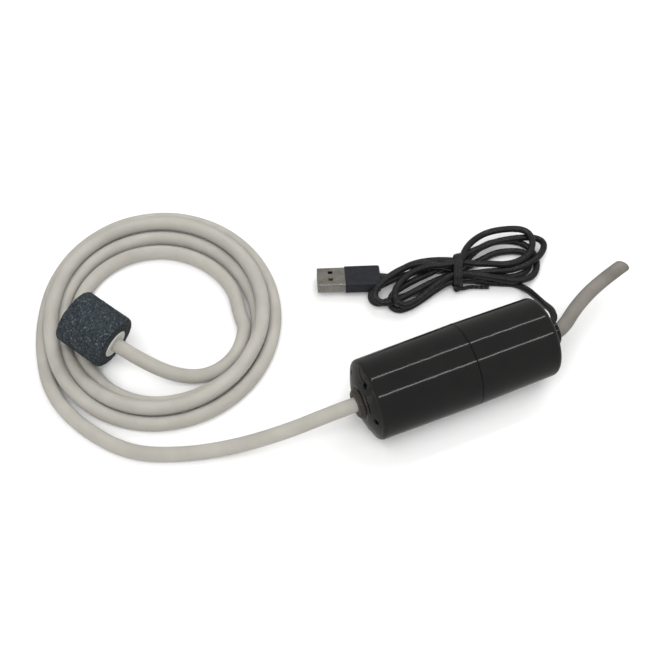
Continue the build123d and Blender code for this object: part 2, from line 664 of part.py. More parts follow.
HANK_OUTLINE = [
    (-15.0, 50.0), (-4.0, 55.0), (-0.5, 62.5), (8.0, 61.5), (26.0, 58.5), (48.0, 68.0),
    (62.0, 63.5), (70.5, 49.0), (62.0, 37.0), (44.0, 34.0), (26.0, 45.0), (6.0, 40.5),
    (-12.0, 40.0),
]
with BuildPart() as usb_hank:
    with BuildSketch(Plane.XY):
        Polygon(*HANK_OUTLINE, align=None)
        fillet(vertices(), 4.0)
    extrude(amount=HANK_H)
    chamfer(usb_hank.faces().sort_by(Axis.Z)[-1].edges(), 2.5)
save(usb_hank, "usb_hank")

# wire tie: a band round the hank's waist, with its two ends twisted together
TIE_W, TIE_T = 2.6, 0.9
TIE_SPAN, TIE_H, TIE_R = 14.4, HANK_H + 0.4, 4.6
TIE_PLANE = Plane(origin=(*WAIST, 0), x_dir=(*ACROSS, 0), z_dir=(ACROSS[1], -ACROSS[0], 0))
TIE_TAIL = [(24.0, 45.8, 3.4), (30.2, 44.2, 1.6), (37.2, 41.3, 1.2)]
with BuildPart() as twist_tie:
    with BuildSketch(TIE_PLANE.offset(-TIE_W / 2)):
        with Locations((0, TIE_H / 2)):
            RectangleRounded(TIE_SPAN, TIE_H, TIE_R)
            offset(amount=-TIE_T, mode=Mode.SUBTRACT)
    extrude(amount=TIE_W)
    with BuildLine() as tail_path:
        FilletPolyline(*TIE_TAIL, radius=6.0)
    with BuildSketch(tail_path.line ^ 0):
        Circle(0.8)
    sweep()
    with Locations(TIE_TAIL[0]):
        Sphere(1.8)
save(twist_tie, "twist_tie")

# ---------------------------------------------------------------- USB plug
plug_axis = Vector(*PLUG_DIR, 0).normalized()
plug_up = Vector(0, 0, 1).rotate(Axis((0, 0, 0), plug_axis), PLUG_ROLL)
PLUG_PLANE = Plane(origin=(*PLUG_TIP, PLUG_Z), x_dir=plug_up.cross(plug_axis), z_dir=plug_axis)
with BuildPart() as usb_shell:
    with BuildSketch(PLUG_PLANE.offset(-SHELL_L - 4.0)):
        RectangleRounded(SHELL_W, SHELL_H, 0.6)
        RectangleRounded(SHELL_W - 2 * SHELL_T, SHELL_H - 2 * SHELL_T, 0.35, mode=Mode.SUBTRACT)
    extrude(amount=SHELL_L + 4.0)
    with BuildSketch(Plane(PLUG_PLANE.offset(-SHELL_L / 2).origin, plug_axis, plug_up)):
        with Locations((0.3, -2.4), (0.3, 2.4)):
            Rectangle(2.0, 1.9)
    extrude(amount=SHELL_H, both=True, mode=Mode.SUBTRACT)
save(usb_shell, "usb_shell")

with BuildPart() as usb_tongue:
    with BuildSketch(PLUG_PLANE.offset(-SHELL_L - 3.5)):
        with Locations((0, -1.0)):
            Rectangle(SHELL_W - 2 * SHELL_T - 0.3, 1.8)
    extrude(amount=SHELL_L + 3.0)
save(usb_tongue, "usb_tongue")

CONTACT_Y = (-3.5, -1.0, 1.0, 3.5)
with BuildPart() as usb_contacts:
    with BuildSketch(PLUG_PLANE.offset(-SHELL_L - 2.0)):
        with Locations(*[(across, 0.0) for across in CONTACT_Y]):
            Rectangle(1.0, 0.2)
    extrude(amount=SHELL_L - 0.5)
save(usb_contacts, "usb_contacts")

with BuildPart() as usb_grip:
    with BuildSketch(PLUG_PLANE.offset(-SHELL_L - GRIP_L)):
        RectangleRounded(GRIP_W, GRIP_H, 1.4)
    extrude(amount=GRIP_L)
    fillet(usb_grip.faces().sort_by(Axis(PLUG_PLANE.origin, PLUG_PLANE.z_dir))[0].edges(), 0.7)
    with BuildSketch(PLUG_PLANE.offset(-SHELL_L - 4.0)):
        RectangleRounded(SHELL_W + 0.04, SHELL_H + 0.04, 0.62)
    extrude(amount=5.0, mode=Mode.SUBTRACT)
save(usb_grip, "usb_grip")

with BuildPart() as plug_relief:
    with BuildSketch(PLUG_PLANE.offset(-SHELL_L - GRIP_L)):
        Circle(2.3)
    with BuildSketch(PLUG_PLANE.offset(-SHELL_L - GRIP_L - 5.0)):
        Circle(1.75)
    loft()
save(plug_relief, "plug_relief")
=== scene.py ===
"""USB aquarium air pump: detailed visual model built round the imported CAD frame.

Metres, in the CAD's frame: the pump's axis runs along X, the free hoses and the cable lie on z = 0.
"""

import json
import math

import bmesh
import bpy
import numpy as np
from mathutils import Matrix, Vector, noise


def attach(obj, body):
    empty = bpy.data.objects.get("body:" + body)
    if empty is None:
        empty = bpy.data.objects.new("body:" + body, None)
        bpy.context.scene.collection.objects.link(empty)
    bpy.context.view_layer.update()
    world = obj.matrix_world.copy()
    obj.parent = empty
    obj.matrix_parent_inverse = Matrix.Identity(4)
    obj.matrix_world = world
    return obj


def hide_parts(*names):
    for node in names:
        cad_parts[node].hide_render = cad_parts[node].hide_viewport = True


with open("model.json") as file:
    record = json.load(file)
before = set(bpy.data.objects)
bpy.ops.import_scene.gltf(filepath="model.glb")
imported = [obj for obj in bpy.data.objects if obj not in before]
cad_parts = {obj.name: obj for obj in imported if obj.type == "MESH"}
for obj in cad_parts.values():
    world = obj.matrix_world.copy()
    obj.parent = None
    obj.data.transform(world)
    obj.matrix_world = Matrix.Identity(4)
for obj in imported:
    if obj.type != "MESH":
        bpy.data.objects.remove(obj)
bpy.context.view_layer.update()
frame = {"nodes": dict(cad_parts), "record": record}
NODES = frame["nodes"]
MM = 0.001
UP = Vector((0, 0, 1))

# ------------------------------------------------------------------ dimensions, millimetres
HOSE_D, HOSE_BORE, HOSE_STIFF = 6.0, 4.0, 0.001
CABLE_D, CABLE_STIFF = 2.9, 0.012
CURVE_STEPS = 8                  # points along each span of a cord

LEAD_ROUTE = [
    (-41.0, 0.0, 17.2), (-56.0, 0.0, 17.2), (-74.0, 3.5, 10.0), (-94.0, 9.0, 3.6),
    (-114.0, 14.3, 3.0), (-133.0, 23.5, 3.0), (-147.0, 44.0, 3.0), (-152.6, 63.5, 3.0),
]
TAIL_ROUTE = [
    (-67.6, 61.2, 3.0), (-76.5, 49.5, 3.0), (-90.5, 44.6, 3.1), (-104.0, 50.0, 4.6),
    (-116.98, 60.47, 12.39), (-121.85, 67.82, 14.20),
]
CABLE_ROUTE = [
    (39.2, 2.65, 19.0), (45.6, 2.65, 19.0), (48.2, 9.0, 18.2), (48.8, 16.0, 13.6),
    (50.6, 23.6, 8.0), (51.6, 31.6, 3.2), (49.2, 38.2, 1.5), (43.8, 40.8, 1.5),
]
INTAKE_ROUTE = [
    (37.0, -1.35, 16.25), (46.0, -1.35, 16.25), (59.0, 8.0, 16.5), (74.2, 15.1, 16.6),
    (89.0, 19.4, 16.2),
]
STONE_R, STONE_L, STONE_EDGE = 11.8, 22.0, 1.6
STONE_CENTRE = Vector((-127.8, 76.8, 16.4))
STONE_DIR = Vector((0.54, -0.815, -0.20)).normalized()
FERRULE_R = 6.2


# ------------------------------------------------------------------ node materials
GRAIN = 0.5                      # size of the stone's grains


def material(name, build, **sockets):
    """A material whose Principled node has these uniform values; build adds its texture nodes."""
    made = bpy.data.materials.new(name)
    made.use_nodes = True
    tree = made.node_tree
    shader = tree.nodes["Principled BSDF"]
    for socket, value in sockets.items():
        shader.inputs[socket.replace("_", " ")].default_value = value
    build(tree, shader)
    return made


def node(tree, kind, **values):
    """A new node: each value goes to the input of that name, or else to the node's own setting."""
    made = tree.nodes.new(kind)
    for key, value in values.items():
        if key in made.inputs:
            made.inputs[key].default_value = value
        else:
            setattr(made, key, value)
    return made


def coordinates(tree, scale=1.0, stretch=(1, 1, 1)):
    """The piece's own coordinates in millimetres."""
    source = node(tree, "ShaderNodeTexCoord")
    mapping = node(tree, "ShaderNodeMapping")
    mapping.inputs["Scale"].default_value = [1000.0 * scale * part for part in stretch]
    tree.links.new(source.outputs["Object"], mapping.inputs["Vector"])
    return mapping.outputs["Vector"]


def noise_texture(tree, vector, size, detail=3.0, rough=0.55):
    """Noise with features of this size in millimetres."""
    made = node(tree, "ShaderNodeTexNoise", Scale=1.0 / size, Detail=detail, Roughness=rough)
    tree.links.new(vector, made.inputs["Vector"])
    return made.outputs["Fac"]


def cells(tree, vector, size, output="Distance"):
    """Voronoi cells of this size in millimetres."""
    made = node(tree, "ShaderNodeTexVoronoi")
    made.inputs["Scale"].default_value = 1.0 / size
    tree.links.new(vector, made.inputs["Vector"])
    return made.outputs[output]


def ramp(tree, value, stops):
    """Colour ramp over (position, colour or grey) stops."""
    made = node(tree, "ShaderNodeValToRGB")
    elements = made.color_ramp.elements
    while len(elements) < len(stops):
        elements.new(0.5)
    for element, (position, colour) in zip(elements, stops):
        element.position = position
        grey = (colour,) * 3 if isinstance(colour, float) else colour
        element.color = (*grey, 1.0)
    tree.links.new(value, made.inputs["Fac"])
    return made.outputs["Color"]


def bump(tree, shader, *layers):
    """Stacked bumps: (height output, distance in millimetres, strength) each."""
    normal = None
    for height, distance, strength in layers:
        made = node(tree, "ShaderNodeBump")
        made.inputs["Strength"].default_value = strength
        made.inputs["Distance"].default_value = distance * MM
        tree.links.new(height, made.inputs["Height"])
        if normal is not None:
            tree.links.new(normal, made.inputs["Normal"])
        normal = made.outputs["Normal"]
    tree.links.new(normal, shader.inputs["Normal"])


def gloss_plastic(name, dark, light, rough=(0.07, 0.16), wave=0.0):
    """Moulded gloss plastic: faint colour drift, fine smudges and slight waviness."""
    def build(tree, shader):
        vector = coordinates(tree)
        tree.links.new(ramp(tree, noise_texture(tree, vector, 9.0), [(0.3, dark), (0.7, light)]),
                       shader.inputs["Base Color"])
        tree.links.new(ramp(tree, noise_texture(tree, vector, 3.2, 6.0, 0.65),
                            [(0.35, rough[0]), (0.75, rough[1])]), shader.inputs["Roughness"])
        bump(tree, shader, (noise_texture(tree, vector, 7.0, 1.0), 1.0, wave),
             (noise_texture(tree, vector, 0.25, 2.0), 0.01, 0.15))
    return material(name, build, Specular_IOR_Level=0.5)


def matte_plastic(name, dark, light, rough=0.5, grain=0.35, depth=0.03):
    """Moulded plastic or rubber with a fine spark-eroded grain."""
    def build(tree, shader):
        vector = coordinates(tree)
        tree.links.new(ramp(tree, noise_texture(tree, vector, 2.5, 5.0), [(0.3, dark), (0.7, light)]),
                       shader.inputs["Base Color"])
        tree.links.new(ramp(tree, noise_texture(tree, vector, 1.2, 4.0),
                            [(0.3, rough - 0.08), (0.7, rough + 0.08)]), shader.inputs["Roughness"])
        bump(tree, shader, (noise_texture(tree, vector, grain, 3.0), depth, 0.6))
    return material(name, build)


def metal(name, dark, light, rough=0.3, stretch=(1, 1, 1), line=0.4):
    """Metal with drawn or turned lines and tarnish patches."""
    def build(tree, shader):
        lines = coordinates(tree, stretch=stretch)
        vector = coordinates(tree)
        tree.links.new(ramp(tree, noise_texture(tree, vector, 3.5, 6.0), [(0.3, dark), (0.7, light)]),
                       shader.inputs["Base Color"])
        tree.links.new(ramp(tree, noise_texture(tree, lines, line, 4.0),
                            [(0.3, rough - 0.1), (0.7, rough + 0.12)]), shader.inputs["Roughness"])
        bump(tree, shader, (noise_texture(tree, lines, line, 2.0), 0.01, 0.35))
    return material(name, build, Metallic=1.0)


def clear_rubber(name, dark, light, rough, weight, radius):
    """Milky translucent silicone: light scatters inside it, with faint cloudy drift."""
    def build(tree, shader):
        vector = coordinates(tree)
        tree.links.new(ramp(tree, noise_texture(tree, vector, 14.0, 4.0), [(0.3, dark), (0.7, light)]),
                       shader.inputs["Base Color"])
        tree.links.new(ramp(tree, noise_texture(tree, vector, 4.0, 5.0),
                            [(0.3, rough - 0.06), (0.7, rough + 0.08)]), shader.inputs["Roughness"])
        bump(tree, shader, (noise_texture(tree, vector, 5.0, 2.0), 0.25, 0.25),
             (noise_texture(tree, vector, 0.5, 3.0), 0.01, 0.3))
    return material(name, build, Subsurface_Weight=weight, Subsurface_Radius=radius,
                    Subsurface_Scale=MM, IOR=1.41)


def sintered_stone(name):
    """Sintered mineral grains: pale and dark specks, with painted shade darkening the sunken gaps
    between the grains.
    """
    def build(tree, shader):
        vector = coordinates(tree)
        split = node(tree, "ShaderNodeSeparateColor")
        tree.links.new(cells(tree, vector, GRAIN, "Color"), split.inputs["Color"])
        colour = ramp(tree, split.outputs["Red"], [
            (0.0, (0.020, 0.027, 0.034)), (0.5, (0.032, 0.042, 0.050)),
            (0.86, (0.052, 0.066, 0.075)), (0.97, (0.11, 0.13, 0.14))])
        # darker towards each grain's edge, where the sunken gaps lie: painted shade in the gaps between
        # the grains
        painted_pore_shade = ramp(tree, cells(tree, vector, GRAIN), [(0.35, 1.0), (0.75, 0.55)])
        patches = ramp(tree, noise_texture(tree, vector, 5.0, 4.0), [(0.3, 0.72), (0.7, 1.0)])
        for layer in (painted_pore_shade, patches):
            mixed = node(tree, "ShaderNodeMix", data_type="RGBA", blend_type="MULTIPLY")
            mixed.inputs["Factor"].default_value = 1.0
            tree.links.new(colour, mixed.inputs["A"])
            tree.links.new(layer, mixed.inputs["B"])
            colour = mixed.outputs["Result"]
        tree.links.new(colour, shader.inputs["Base Color"])
        tree.links.new(ramp(tree, split.outputs["Green"], [(0.0, 0.60), (1.0, 0.95)]),
                       shader.inputs["Roughness"])
        bump(tree, shader, (cells(tree, vector, GRAIN), 0.25, -0.7),
             (noise_texture(tree, vector, 0.2, 3.0), 0.06, 0.6))
    return material(name, build, Specular_IOR_Level=0.35)


def felt(name, dark, light):
    """Pressed fibres."""
    def build(tree, shader):
        vector = coordinates(tree)
        fibre = noise_texture(tree, vector, 0.35, 6.0, 0.7)
        tree.links.new(ramp(tree, fibre, [(0.3, dark), (0.7, light)]), shader.inputs["Base Color"])
        bump(tree, shader, (fibre, 0.2, 0.8))
    return material(name, build, Roughness=0.95, Sheen_Weight=0.3)


def windings(name, dark, light):
    """Enamelled wire, wound turn beside turn, with the grooves between turns darkened by painted shade.
    """
    def build(tree, shader):
        vector = coordinates(tree)
        wave = node(tree, "ShaderNodeTexWave", bands_direction="X")
        wave.inputs["Scale"].default_value = 1.1
        wave.inputs["Distortion"].default_value = 0.6
        tree.links.new(vector, wave.inputs["Vector"])
        # the colour is darkest where the bump sinks into the grooves between turns: painted shade
        tree.links.new(ramp(tree, wave.outputs["Fac"], [(0.1, dark), (0.6, light)]),
                       shader.inputs["Base Color"])
        bump(tree, shader, (wave.outputs["Fac"], 0.15, 0.9))
    return material(name, build, Metallic=0.9, Roughness=0.3)


MATERIALS = {
    "shell_plastic": gloss_plastic("shell_plastic", (0.0035, 0.0042, 0.0041), (0.0062, 0.0062, 0.0058),
                                   (0.06, 0.13), 0.06),
    "collar_rubber": matte_plastic("collar_rubber", (0.022, 0.017, 0.015), (0.040, 0.030, 0.026), 0.42),
    "seal_rubber": matte_plastic("seal_rubber", (0.012, 0.012, 0.012), (0.02, 0.02, 0.02), 0.45),
    "damper_foam": matte_plastic("damper_foam", (0.03, 0.03, 0.03), (0.07, 0.07, 0.07), 0.9, 0.8, 0.3),
    "filter_felt": felt("filter_felt", (0.42, 0.40, 0.35), (0.70, 0.68, 0.62)),
    "zinc_steel": metal("zinc_steel", (0.42, 0.42, 0.41), (0.60, 0.60, 0.59), 0.32, (0.3, 3, 3)),
    "dark_steel": metal("dark_steel", (0.16, 0.16, 0.17), (0.30, 0.30, 0.31), 0.42, (6, 0.3, 0.3), 0.5),
    "ferrite": matte_plastic("ferrite", (0.035, 0.035, 0.038), (0.07, 0.07, 0.075), 0.6, 0.2, 0.03),
    "bronze": metal("bronze", (0.42, 0.26, 0.12), (0.60, 0.42, 0.22), 0.4),
    # the darker copper colour is the painted shade in the grooves between turns
    "copper": windings("copper", (0.20, 0.07, 0.03), (0.72, 0.33, 0.16)),
    "carbon_brush": metal("carbon_brush", (0.24, 0.15, 0.08), (0.50, 0.34, 0.18), 0.4),
    "brass_contact": metal("brass_contact", (0.62, 0.44, 0.16), (0.85, 0.68, 0.32), 0.24),
    "white_nylon": matte_plastic("white_nylon", (0.60, 0.60, 0.57), (0.72, 0.72, 0.69), 0.42),
    "grey_plastic": matte_plastic("grey_plastic", (0.05, 0.05, 0.055), (0.09, 0.09, 0.095), 0.45),
    "silicone_black": matte_plastic("silicone_black", (0.015, 0.015, 0.015), (0.03, 0.03, 0.03), 0.4),
    "silicone_clear": clear_rubber("silicone_clear", (0.36, 0.347, 0.317), (0.42, 0.407, 0.375),
                                   0.34, 1.0, (4.5, 4.2, 3.8)),
    "tube_grey": clear_rubber("tube_grey", (0.145, 0.133, 0.118), (0.22, 0.207, 0.188),
                              0.34, 0.45, (1.0, 0.9, 0.8)),
    "cable_pvc": gloss_plastic("cable_pvc", (0.0065, 0.0065, 0.0068), (0.012, 0.012, 0.012),
                               (0.22, 0.36), 0.05),
    "wire_red": matte_plastic("wire_red", (0.35, 0.015, 0.01), (0.50, 0.03, 0.02), 0.4),
    "wire_black": matte_plastic("wire_black", (0.010, 0.010, 0.010), (0.02, 0.02, 0.02), 0.4),
    "nickel": metal("nickel", (0.42, 0.40, 0.36), (0.60, 0.58, 0.53), 0.28, (0.5, 4, 4), 0.5),
    "plug_black": matte_plastic("plug_black", (0.008, 0.009, 0.012), (0.015, 0.016, 0.020), 0.45, 0.3),
    "tongue_black": matte_plastic("tongue_black", (0.008, 0.008, 0.008), (0.015, 0.015, 0.015), 0.4),
    "stone_blue": sintered_stone("stone_blue"),
    "ferrule_white": matte_plastic("ferrule_white", (0.56, 0.55, 0.51), (0.66, 0.65, 0.62), 0.38),
    "tie_black": matte_plastic("tie_black", (0.008, 0.008, 0.009), (0.018, 0.018, 0.020), 0.30),
}

# every CAD node that stays takes its record slot's material
for entry in frame["record"]["subparts"]:
    mesh = NODES[entry["node"]].data
    mesh.materials.clear()
    mesh.materials.append(MATERIALS[entry["material_slot"]])


# ------------------------------------------------------------------ piece helpers
def finish_piece(obj, slot, *replaced):
    """Material, slot, body and the CAD nodes that this piece stands for."""
    obj.data.materials.append(MATERIALS[slot])
    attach(obj, "root")
    if replaced:
        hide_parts(*replaced)
    return obj


def mesh_piece(name, made):
    """A smooth-shaded object from a bmesh, which is used up."""
    mesh = bpy.data.meshes.new(name)
    made.to_mesh(mesh)
    made.free()
    for polygon in mesh.polygons:
        polygon.use_smooth = True
    obj = bpy.data.objects.new(name, mesh)
    bpy.context.collection.objects.link(obj)
    return obj


def ring_quads(made, first, second):
    """Faces between two closed rings that have as many points."""
    for step in range(len(first)):
        after = (step + 1) % len(first)
        made.faces.new([first[step], first[after], second[after], second[step]])


def nurbs(name, points, diameter, bevel=10):
    """A round cord along an open quadratic NURBS with these control points, in millimetres."""
    curve = bpy.data.curves.new(name, "CURVE")
    curve.dimensions = "3D"
    spline = curve.splines.new("NURBS")
    spline.points.add(len(points) - 1)
    for target, point in zip(spline.points, points):
        target.co = (*(value * MM for value in point), 1.0)
        target.radius = diameter / 2 * MM
    spline.order_u = 3
    spline.use_endpoint_u = True
    spline.resolution_u = CURVE_STEPS
    curve.bevel_depth = 1.0         # the points' own radii give the thickness
    curve.bevel_resolution = bevel
    curve.use_fill_caps = True
    obj = bpy.data.objects.new(name, curve)
    bpy.context.collection.objects.link(obj)
    return obj


def line_of(obj):
    """The cord's own line as points, read from its spline."""
    curve = obj.data
    depth = curve.bevel_depth
    curve.bevel_depth = 0.0
    bpy.context.view_layer.update()
    mesh = bpy.data.meshes.new_from_object(obj.evaluated_get(bpy.context.evaluated_depsgraph_get()))
    curve.bevel_depth = depth
    points = [vertex.co.copy() for vertex in mesh.vertices]
    bpy.data.meshes.remove(mesh)
    return points


def guide_line(points):
    """The line of a NURBS with these control points, in metres, without keeping the NURBS."""
    guide = nurbs("guide", points, 1.0)
    line = line_of(guide)
    bpy.data.objects.remove(guide)
    return line


def length_of(points):
    return sum((after - before).length for before, after in zip(points, points[1:]))


# ------------------------------------------------------------------ lying strands
def between(first, last, share):
    return first + (last - first) * share


def spline_weights(count, per_span=4):
    """How much of each control point is in each point along a clamped quadratic spline."""
    rows = []
    for span in range(count - 2):
        for part in range(per_span):
            t = part / per_span
            weights = [(1 - t) ** 2 / 2, 0.5 + t - t * t, t * t / 2]
            if span == 0:
                weights = [(1 - t) ** 2, 2 * t - 1.5 * t * t, t * t / 2]
            elif span == count - 3:
                weights = [(1 - t) ** 2 / 2, 0.5 + t - 1.5 * t * t, t * t]
            row = np.zeros(count)
            row[span:span + 3] = weights
            rows.append(row)
    return np.array(rows)


SETTLE_ROUNDS = 160
SAME_STRAND = 12                 # points this near along the line don't push each other
PUSH_GAIN, PULL_BACK, CROWDING = 1.7, 0.03, 0.6


def settle(points, diameter, held_first, held_last, stiff):
    """Push strands apart to a diameter and up off the floor, without moving the held ends.

    Each free point is also pulled back to its place and, as far as stiff says, into line.
    """
    rest = np.array(points, float)
    place = rest.copy()
    weights = spline_weights(len(place))
    share = weights.T / (weights.sum(0)[:, None] + 1e-9)
    index = np.arange(len(weights))
    apart = np.abs(index[:, None] - index[None, :]) > SAME_STRAND
    free = np.ones(len(place), bool)
    free[:held_first] = False
    free[len(place) - held_last:] = False
    for _ in range(SETTLE_ROUNDS):
        line = weights @ place
        gap = line[:, None, :] - line[None, :, :]
        distance = np.linalg.norm(gap, axis=2) + 1e-6
        overlap = np.where(apart & (distance < diameter), (diameter - distance) / distance / 2, 0)
        push = (overlap[:, :, None] * gap).sum(1)
        push /= np.maximum((overlap > 0).sum(1), 1)[:, None] ** CROWDING
        smooth = np.zeros_like(place)
        smooth[1:-1] = (place[:-2] + place[2:]) / 2 - place[1:-1]
        step = PUSH_GAIN * (share @ push) + stiff * smooth + PULL_BACK * (rest - place)
        place[free] += step[free]
        place[:, 2] = np.maximum(place[:, 2], diameter / 2)
    return [tuple(point) for point in place]


# ------------------------------------------------------------------ air hose: lead, coil and tail
COIL_CENTRE = (-99.5, 82.7)
COIL_TURN = math.radians(75.0)
COIL_HALF = (55.8, 49.4)         # the outermost turn's centre line, long and short half diameter
COIL_START = math.radians(246.4)
FIRST_TURN, LAST_TURN, TURN_STEPS = 0.19, 3.75, 16
# at each quarter turn: how far the hose lies inside the outermost line, and its middle's height.
# The second turn rides in the groove between the first and the third.
COIL_QUARTERS = [
    (-12.0, 3.0), (2.1, 3.0), (0.7, 3.0), (0.1, 3.0), (1.2, 3.0), (5.6, 8.1), (6.4, 6.5), (5.0, 8.1),
    (6.2, 6.8), (8.6, 3.0), (12.0, 3.0), (8.4, 3.0), (10.9, 3.0), (14.8, 3.0), (20.2, 3.0), (14.7, 3.0),
    (14.7, 3.0),
]


def coil_points():
    """Control points round the coil, from the lead's end to the tail's start."""
    points = []
    swell = 1.0 / math.cos(math.pi / TURN_STEPS)
    steps = round((LAST_TURN - FIRST_TURN) * TURN_STEPS)
    for step in range(steps + 1):
        turn = FIRST_TURN + (LAST_TURN - FIRST_TURN) * step / steps
        quarter, part = divmod(turn * 4, 1)
        blend = (1 - math.cos(math.pi * part)) / 2
        inset, height = (between(first, last, blend) for first, last in
                         zip(*COIL_QUARTERS[int(quarter):int(quarter) + 2]))
        angle = COIL_START - 2 * math.pi * turn
        long, short = COIL_HALF
        off = angle - COIL_TURN
        reach = long * short / math.hypot(short * math.cos(off), long * math.sin(off))
        reach = (reach - inset) * swell
        points.append((COIL_CENTRE[0] + reach * math.cos(angle),
                       COIL_CENTRE[1] + reach * math.sin(angle), height))
    return points


hose_points = settle(LEAD_ROUTE + coil_points() + TAIL_ROUTE, HOSE_D, len(LEAD_ROUTE), len(TAIL_ROUTE),
                     HOSE_STIFF)
air_hose = nurbs("air_hose", hose_points, HOSE_D, bevel=12)
finish_piece(air_hose, "silicone_clear", "hose_lead", "hose_coil", "hose_tail")
hose_length = length_of(line_of(air_hose))

# ------------------------------------------------------------------ cable, tied in a hank
WAIST = Vector((27.2, 52.2))
WAIST_ALONG = Vector((0.90, -0.436))
WAIST_ACROSS = Vector((0.436, 0.90))
# each pass through the tie: offset across the bundle, height
LEFTWARD = [(-2.9, 2.4), (-4.35, 4.9), (-1.45, 4.9), (-2.9, 7.4), (3.9, 7.5)]
RIGHTWARD = [(2.9, 2.4), (4.35, 4.9), (1.45, 4.9), (1.0, 7.5)]
# loops on the plug's side: tip x and y, lowest z, crest y and z
LEFT_LOOPS = [
    (-12.2, 54.6, 1.6, 59.0, 6.0), (-5.6, 48.4, 1.6, 55.6, 4.5),
    (-11.4, 52.4, 4.5, 61.0, 9.0), (-4.4, 47.8, 4.6, 58.4, 8.0),
]
# loops on the other side: far y, reach x, near y, z
RIGHT_LOOPS = [
    (57.0, 62.0, 41.5, 1.6), (60.5, 70.8, 43.6, 4.4), (62.6, 64.5, 36.8, 3.0), (65.6, 66.0, 45.5, 6.5),
]
PLUG_CABLE_END = (-0.1, 60.8, 4.4)
LOOP_HALF = 3.9                  # half the width of a loop on the plug's side


def waist_point(slot, along, lift=0.0):
    """A place in the tied bundle: its slot across and up, and a distance along."""
    place = WAIST + WAIST_ALONG * along + WAIST_ACROSS * slot[0]
    return (place.x, place.y, slot[1] + lift)


def hank_points():
    """Turn after turn through the tie: a loop on the plug's side, then one on the other."""
    points = [(37.0, 44.6, 1.5), (32.5, 48.0, 1.5)]
    for turn, (tip_x, tip_y, low, crest_y, crest_z) in enumerate(LEFT_LOOPS):
        there, back, onward = LEFTWARD[turn], RIGHTWARD[turn], LEFTWARD[turn + 1]
        start = waist_point(there, -2.5)
        points += [waist_point(there, 2.5), start]
        points += [
            (between(start[0], tip_x, 0.28), between(start[1], tip_y - LOOP_HALF, 0.35) + 0.8,
             between(start[2], low, 0.5)),
            (between(start[0], tip_x, 0.55), between(start[1], tip_y - LOOP_HALF, 0.7) + 0.3, low),
            (between(start[0], tip_x, 0.80), tip_y - LOOP_HALF, low),
            (tip_x + 1.0, tip_y - 3.7, low + 0.2), (tip_x - 1.6, tip_y, low + 1.2),
            (tip_x + 0.4, tip_y + LOOP_HALF, low + 2.4),
            (between(start[0], tip_x, 0.78), between(tip_y + LOOP_HALF, crest_y, 0.62),
             between(low + 2.4, crest_z, 0.6)),
            (between(start[0], tip_x, 0.55), crest_y, crest_z),
            (between(start[0], tip_x, 0.28), crest_y + 0.4, between(crest_z, back[1], 0.25) + 0.3),
        ]
        points += [waist_point(back, -3.2, 0.3), waist_point(back, 2.2)]
        far_y, reach, near_y, height = RIGHT_LOOPS[turn]
        start, end = waist_point(back, 2.2), waist_point(onward, 2.5)
        points += [
            (34.0, between(start[1], far_y, 0.55), between(back[1], height, 0.4) + 0.4),
            (41.5, far_y - 1.2, height + 0.6), (49.5, far_y + 0.6, height + 0.6),
            (between(50.0, reach, 0.75), far_y - 2.6, height + 0.3),
            (reach + 0.4, between(far_y, near_y, 0.33), height),
            (reach + 0.2, between(far_y, near_y, 0.66), height),
            (between(50.0, reach, 0.62), near_y - 0.6, height), (49.0, near_y - 1.2, height),
            (41.5, between(near_y, end[1], 0.45) - 0.8, between(height, onward[1], 0.5)),
            (34.5, between(near_y, end[1], 0.75) - 0.6, between(height, onward[1], 0.8)),
        ]
    last = LEFTWARD[-1]
    points += [waist_point(last, 2.5), waist_point(last, -2.5), (19.0, 61.0, 6.6),
               (11.5, 63.6, 5.4), (5.0, 63.0, 4.6), PLUG_CABLE_END]
    return points


cable_points = settle(CABLE_ROUTE + hank_points(), CABLE_D, len(CABLE_ROUTE), 3, CABLE_STIFF)
usb_cord = nurbs("usb_cord", cable_points, CABLE_D, bevel=8)
finish_piece(usb_cord, "cable_pvc", "usb_cable", "usb_hank")
cable_length = length_of(line_of(usb_cord))

# ------------------------------------------------------------------ intake tube: hollow, cut askew
CUT_SLOPE = 0.45                 # how far the cut leans, per unit across


TUBE_AROUND = 40


def cut_tube(name, line, outer, bore):
    """A hollow tube of these radii along a line of points in metres, its far end cut askew."""
    made = bmesh.new()
    outers, inners = [], []
    for number, centre in enumerate(line):
        ahead = line[min(number + 1, len(line) - 1)] - line[max(number - 1, 0)]
        ahead.normalize()
        side = ahead.cross(UP).normalized()
        top = side.cross(ahead)
        for radius, rings in ((outer, outers), (bore, inners)):
            ring = []
            for step in range(TUBE_AROUND):
                angle = 2 * math.pi * step / TUBE_AROUND
                offset = (side * math.cos(angle) + top * math.sin(angle)) * radius
                place = centre + offset
                if number == len(line) - 1:
                    place += ahead * CUT_SLOPE * (offset.dot(side) - outer)
                ring.append(made.verts.new(place))
            rings.append(ring)
    for rings in (outers, inners):
        for first, second in zip(rings, rings[1:]):
            ring_quads(made, first, second)
    for end in (0, -1):
        ring_quads(made, outers[end], inners[end])
    bmesh.ops.recalc_face_normals(made, faces=made.faces)
    return mesh_piece(name, made)


intake_line = guide_line(INTAKE_ROUTE)
intake_hose = cut_tube("intake_hose", intake_line, HOSE_D / 2 * MM, HOSE_BORE / 2 * MM)
finish_piece(intake_hose, "tube_grey", "intake_tube")

# ------------------------------------------------------------------ air stone: gritty and pitted
def along_stone(distance, radius, angle):
    """A place on the stone in millimetres, from its hose end backwards."""
    side = STONE_DIR.cross(UP).normalized()
    top = side.cross(STONE_DIR)
    middle = STONE_CENTRE + STONE_DIR * (STONE_L / 2 - distance)
    return middle + (side * math.cos(angle) + top * math.sin(angle)) * radius


STONE_SPACING, CORNER_STEPS = 0.42, 5
RECESS_DEPTH, HOSE_HOLE_R, FAR_MIDDLE_R = 1.0, 3.05, 0.4


